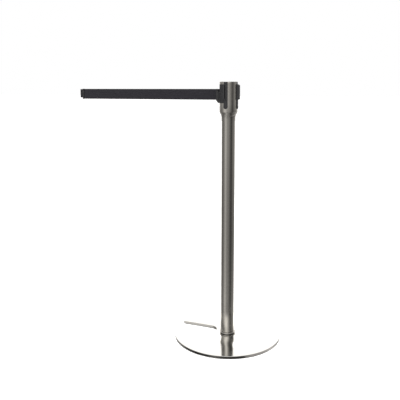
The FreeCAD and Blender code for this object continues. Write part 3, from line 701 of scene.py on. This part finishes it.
finish_node("belt_lead", webbing)
finish_node("belt_roll", webbing)


# ---- belt end ---------------------------------------------------------------------------
# Two slim nylon plates riveted through the belt's end, and the T-shaped bar between them
# that drops into a neighbour's receiver.

finish_node("belt_clip_front", nylon)
finish_node("belt_clip_back", nylon)
finish_node("belt_end_bar", nylon, 0.0003)
finish_node("clip_rivets", black_oxide)


# ---- floor, light and camera ------------------------------------------------------------
# A plain white floor and a white surround. The steel sees a soft studio of grey panels:
# lit ones to the left of the camera, dark ones to the right, and a bright wall behind.

floor_mesh = bpy.data.meshes.new("floor")
FLOOR = 60.0
floor_mesh.from_pydata([(-FLOOR, -FLOOR, 0), (FLOOR, -FLOOR, 0), (FLOOR, FLOOR, 0),
                        (-FLOOR, FLOOR, 0)], [], [(0, 1, 2, 3)])
floor = bpy.data.objects.new("floor", floor_mesh)
floor_paint, tree, shader = material("matt_white_floor", Base_Color=linear("f4f4f4"),
                                     Roughness=0.9, Emission_Color=(1, 1, 1, 1),
                                     Emission_Strength=0.35)
floor_mesh.materials.append(floor_paint)
bpy.context.scene.collection.objects.link(floor)
floor.visible_glossy = False

CAMERA_AZIMUTH = math.radians(22.0)
toward = np.array([math.sin(CAMERA_AZIMUTH), -math.cos(CAMERA_AZIMUTH), 0])
right = np.array([math.cos(CAMERA_AZIMUTH), math.sin(CAMERA_AZIMUTH), 0])

world = bpy.data.worlds.new("studio")
bpy.context.scene.world = world
world.use_nodes = True
tree = world.node_tree
tree.nodes.clear()
way = add(tree, "ShaderNodeTexCoord").outputs["Generated"]
ahead = add(tree, "ShaderNodeVectorMath", {"operation": "DOT_PRODUCT"},
            {0: way, 1: tuple(toward)}).outputs["Value"]
aside = add(tree, "ShaderNodeVectorMath", {"operation": "DOT_PRODUCT"},
            {0: way, 1: tuple(right)}).outputs["Value"]
turn = add(tree, "ShaderNodeMath", {"operation": "ARCTAN2"}, {0: aside, 1: ahead})
share = add(tree, "ShaderNodeMapRange", {}, {"Value": turn.outputs[0], "From Min": -math.pi,
            "From Max": math.pi})


def panels(stops):
    """A ring of studio panels: angle in degrees to the right of the camera's side, and
    brightness there."""
    node = add(tree, "ShaderNodeValToRGB", {}, {0: share.outputs[0]})
    node.color_ramp.interpolation = "LINEAR"
    while len(node.color_ramp.elements) < len(stops):
        node.color_ramp.elements.new(0.5)
    for stop, (degrees, level) in zip(node.color_ramp.elements, stops):
        stop.position = (degrees + 180) / 360
        stop.color = (level, level * 0.985, level * 0.96, 1)
    return node.outputs[0]


# what the post and the head see, level with the eye
level_panels = panels([
    (-180, 1.3), (-150, 0.80), (-128, 0.34), (-104, 0.26), (-84, 0.36), (-66, 0.60),
    (-56, 1.00), (-38, 0.86), (-20, 0.50), (2, 0.46), (20, 0.30), (36, 0.15), (50, 0.07),
    (60, 0.14), (74, 0.27), (100, 0.36), (126, 0.64), (150, 1.00), (180, 1.3)])
# what the disc shows of the studio above it
high_panels = panels([
    (-180, 1.32), (-140, 1.32), (-116, 0.34), (-86, 0.26), (-64, 0.30), (-46, 0.62),
    (-25, 1.55), (-8, 1.40), (10, 0.75), (28, 0.26), (46, 0.11), (80, 0.08), (100, 0.12),
    (122, 0.40), (140, 1.32), (180, 1.32)])
# what the disc's edge sees, in a narrow band below the eye
edge_panels = panels([
    (-180, 0.40), (-130, 0.30), (-113, 0.25), (-99, 0.05), (-87, 0.12), (-75, 0.02),
    (-60, 0.04), (-46, 0.07), (-29, 0.24), (-20, 0.12), (14, 0.075), (31, 0.07), (40, 0.43),
    (49, 0.64), (68, 0.62), (90, 0.80), (103, 1.10), (117, 0.86), (136, 0.45), (180, 0.40)])
up = add(tree, "ShaderNodeSeparateXYZ", {}, {0: way}).outputs["Z"]
# how bright the level panels are below the eye: sine of the angle down, and share
down = add(tree, "ShaderNodeMath", {"operation": "MULTIPLY"}, {0: up, 1: -1.0})
fade = add(tree, "ShaderNodeValToRGB", {}, {0: down.outputs[0]})
FADE = [(0.0, 1.0), (0.12, 1.0), (0.20, 0.78), (0.29, 0.74), (0.34, 0.95), (0.38, 1.15),
        (0.45, 1.3), (0.60, 0.8)]
while len(fade.color_ramp.elements) < len(FADE):
    fade.color_ramp.elements.new(0.5)
for stop, (sine, level) in zip(fade.color_ramp.elements, FADE):
    stop.position = sine
    stop.color = (level, level, level, 1)
faded = add(tree, "ShaderNodeMix", {"data_type": "RGBA", "blend_type": "MULTIPLY"},
            {0: 1.0, 6: level_panels, 7: fade.outputs[0]}).outputs[2]


def over(below, above, start, end):
    """One colour below and another above, with a soft step between two sines of the angle
    up from level."""
    step = add(tree, "ShaderNodeMapRange", {"interpolation_type": "SMOOTHSTEP"},
               {"Value": up, "From Min": start, "From Max": end})
    return add(tree, "ShaderNodeMix", {"data_type": "RGBA"},
               {0: step.outputs[0], 6: below, 7: above}).outputs[2]


# sines of the angle up from level at which one part of the studio gives way to the next
BAND_FOOT, BAND_TOP = (-0.50, -0.46), (-0.418, -0.405)
EYE_LEVEL, HIGH_ONLY, CEILING = (0.10, 0.26), (0.414, 0.424), (0.55, 0.80)
seen = over(over(faded, edge_panels, *BAND_FOOT), faded, *BAND_TOP)
both_panels = add(tree, "ShaderNodeMix", {"data_type": "RGBA", "blend_type": "ADD"},
                  {0: 1.0, 6: level_panels, 7: high_panels}).outputs[2]
seen = over(seen, over(both_panels, high_panels, *HIGH_ONLY), *EYE_LEVEL)
seen = over(seen, (1.0, 1.0, 1.0, 1.0), *CEILING)
studio = add(tree, "ShaderNodeBackground", {}, {"Color": seen, "Strength": 1.0})
white = add(tree, "ShaderNodeBackground", {}, {"Color": (1, 1, 1, 1), "Strength": 1.0})
camera_sees = add(tree, "ShaderNodeLightPath").outputs["Is Camera Ray"]
mixed = add(tree, "ShaderNodeMixShader", {}, {0: camera_sees, 1: studio.outputs[0],
            2: white.outputs[0]})
add(tree, "ShaderNodeOutputWorld", inputs={0: mixed.outputs[0]})


def softbox(name, place, aim_height, size, power):
    """A square area light that faces a height on the post and isn't seen itself."""
    light = bpy.data.lights.new(name, "AREA")
    light.size, light.energy = size, power
    lamp = bpy.data.objects.new(name, light)
    lamp.location = place
    bpy.context.scene.collection.objects.link(lamp)
    direction = Vector((0, 0, aim_height)) - Vector(place)
    lamp.rotation_euler = direction.to_track_quat("-Z", "Y").to_euler()
    lamp.visible_camera = lamp.visible_glossy = False


softbox("overhead", (0.0, 0.0, 4.0), aim_height=0.0, size=5.0, power=160.0)
softbox("left_front", toward * 2.4 - right * 2.6 + np.array([0, 0, 2.4]),
        aim_height=0.6, size=1.8, power=60.0)
softbox("right", toward * 0.6 + right * 3.0 + np.array([0, 0, 1.4]),
        aim_height=0.9, size=1.6, power=150.0)

camera_data = bpy.data.cameras.new("camera")
camera = bpy.data.objects.new("camera", camera_data)
bpy.context.scene.collection.objects.link(camera)
bpy.context.scene.camera = camera
camera_data.lens = 50.9
camera_data.shift_y = -0.115
EYE_HEIGHT, EYE_BACK, EYE_LEFT = 0.966, 2.129, 0.107
LOOKS_DOWN = math.radians(6.67)
eye = toward * EYE_BACK - right * EYE_LEFT
camera.location = (eye[0], eye[1], EYE_HEIGHT)
camera.rotation_euler = (math.pi / 2 - LOOKS_DOWN, 0, CAMERA_AZIMUTH)
bpy.context.scene.view_settings.view_transform = "Standard"
